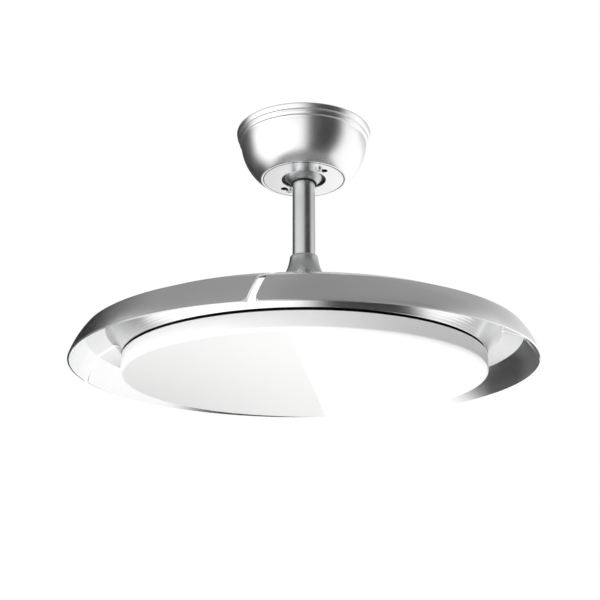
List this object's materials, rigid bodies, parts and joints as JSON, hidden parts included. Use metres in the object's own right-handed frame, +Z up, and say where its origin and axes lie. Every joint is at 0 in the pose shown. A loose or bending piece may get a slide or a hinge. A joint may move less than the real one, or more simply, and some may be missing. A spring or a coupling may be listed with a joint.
{
  "type": "retractable blade ceiling fan",
  "caption": "Ceiling fan on a short downrod, with a round opal lamp and curved blades that fold in round the lamp and swing out together.",
  "frame": {"origin": "middle of the hanging bracket's ceiling face, on the fan's axis", "axes": "+Z up into the ceiling along the fan's axis; X along the bracket and the ceiling slots; -Y is the side the picture was taken from"},
  "size_m": [0.512, 0.512, 0.3002],
  "materials": {
    "bracket_paint": "black powder coat",
    "satin_chrome": "satin",
    "screw_steel": "zinc plated",
    "white_plastic": "matte",
    "rod_chrome": "satin",
    "pin_steel": "turned",
    "satin_grey": "satin",
    "cast_grey": "cast",
    "bearing_steel": "ground",
    "lamination": "oiled",
    "copper_wire": "enamelled copper",
    "magnet": "nickel dull",
    "zinc_plate": "zinc plated",
    "black_pan": "black",
    "board_white": "solder mask",
    "led_yellow": "phosphor",
    "spring_steel": "spring",
    "opal": "opal, soft gloss",
    "dish_chrome": "satin",
    "rubber": "matte",
    "gear_nylon": "moulded",
    "blade_grey": "satin metallic grey"
  },
  "bodies": {
    "mount": {"ceiling_bracket": "bracket_paint", "canopy": "satin_chrome", "canopy_cover": "satin_chrome", "canopy_screws": "screw_steel", "receiver_box": "white_plastic", "receiver_screws": "screw_steel", "terminal_block": "white_plastic"},
    "hanger": {"hanger_ball": "rod_chrome", "downrod": "rod_chrome", "ball_pin": "pin_steel", "ball_set_screw": "screw_steel", "yoke_cover": "satin_grey", "motor_yoke": "cast_grey", "yoke_pin": "pin_steel", "cotter_clip": "pin_steel", "yoke_screws": "screw_steel", "motor_shaft": "pin_steel", "bearing_inner_races": "bearing_steel", "stator_core": "lamination", "stator_windings": "copper_wire", "lamp_bracket": "zinc_plate", "shaft_nut": "pin_steel", "lamp_pan": "black_pan", "lamp_screws": "screw_steel", "led_board": "board_white", "leds": "led_yellow", "led_driver": "white_plastic", "diffuser_clips": "spring_steel", "diffuser": "opal"},
    "rotor": {"blade_dish": "dish_chrome", "motor_base": "cast_grey", "motor_housing": "cast_grey", "motor_screws": "screw_steel", "magnets": "magnet", "bearing_outer_races": "bearing_steel", "bearing_balls": "bearing_steel", "gear_cover": "satin_grey", "gear_cover_screws": "screw_steel", "motor_cover": "satin_grey", "motor_cover_screws": "screw_steel", "pivot_pins": "pin_steel", "pivot_screws": "screw_steel", "return_springs": "spring_steel", "ring_stops": "rubber"},
    "sync_ring": {"sync_ring": "gear_nylon"},
    "blade_1": {"blade_1": "blade_grey", "blade_gear_1": "gear_nylon"},
    "blade_2": {"blade_2": "blade_grey", "blade_gear_2": "gear_nylon"},
    "blade_3": {"blade_3": "blade_grey", "blade_gear_3": "gear_nylon"},
    "blade_4": {"blade_4": "blade_grey", "blade_gear_4": "gear_nylon"}
  },
  "joints": [
    {"name": "ball_tilt", "type": "hinge", "parent": "mount", "child": "hanger", "pos_m": [0, 0, -0.039], "axis": [1, 0, 0], "range_deg": [-20, 20]},
    {"name": "fan_spin", "type": "hinge", "parent": "hanger", "child": "rotor", "pos_m": [0, 0, -0.25], "axis": [0, 0, 1], "continuous": true},
    {"name": "sync_ring_turn", "type": "hinge", "parent": "rotor", "child": "sync_ring", "pos_m": [0, 0, -0.262], "axis": [0, 0, 1], "range_deg": [-11, 0.05]},
    {"name": "blade_1_swing", "type": "hinge", "parent": "rotor", "child": "blade_1", "pos_m": [0.01476, -0.18341, -0.25], "axis": [0, 0, 1], "range_deg": [0, 115], "stiffness_Nm_per_rad": 0.03},
    {"name": "blade_2_swing", "type": "hinge", "parent": "rotor", "child": "blade_2", "pos_m": [0.18341, 0.01476, -0.25], "axis": [0, 0, 1], "range_deg": [0, 115], "stiffness_Nm_per_rad": 0.03},
    {"name": "blade_3_swing", "type": "hinge", "parent": "rotor", "child": "blade_3", "pos_m": [-0.01476, 0.18341, -0.25], "axis": [0, 0, 1], "range_deg": [0, 115], "stiffness_Nm_per_rad": 0.03},
    {"name": "blade_4_swing", "type": "hinge", "parent": "rotor", "child": "blade_4", "pos_m": [-0.18341, -0.01476, -0.25], "axis": [0, 0, 1], "range_deg": [0, 115], "stiffness_Nm_per_rad": 0.03}
  ],
  "couplings": [
    {"joint": "sync_ring_turn", "follows": "blade_1_swing", "ratio": -0.095238},
    {"joint": "blade_2_swing", "follows": "blade_1_swing", "ratio": 1},
    {"joint": "blade_3_swing", "follows": "blade_1_swing", "ratio": 1},
    {"joint": "blade_4_swing", "follows": "blade_1_swing", "ratio": 1}
  ]
}
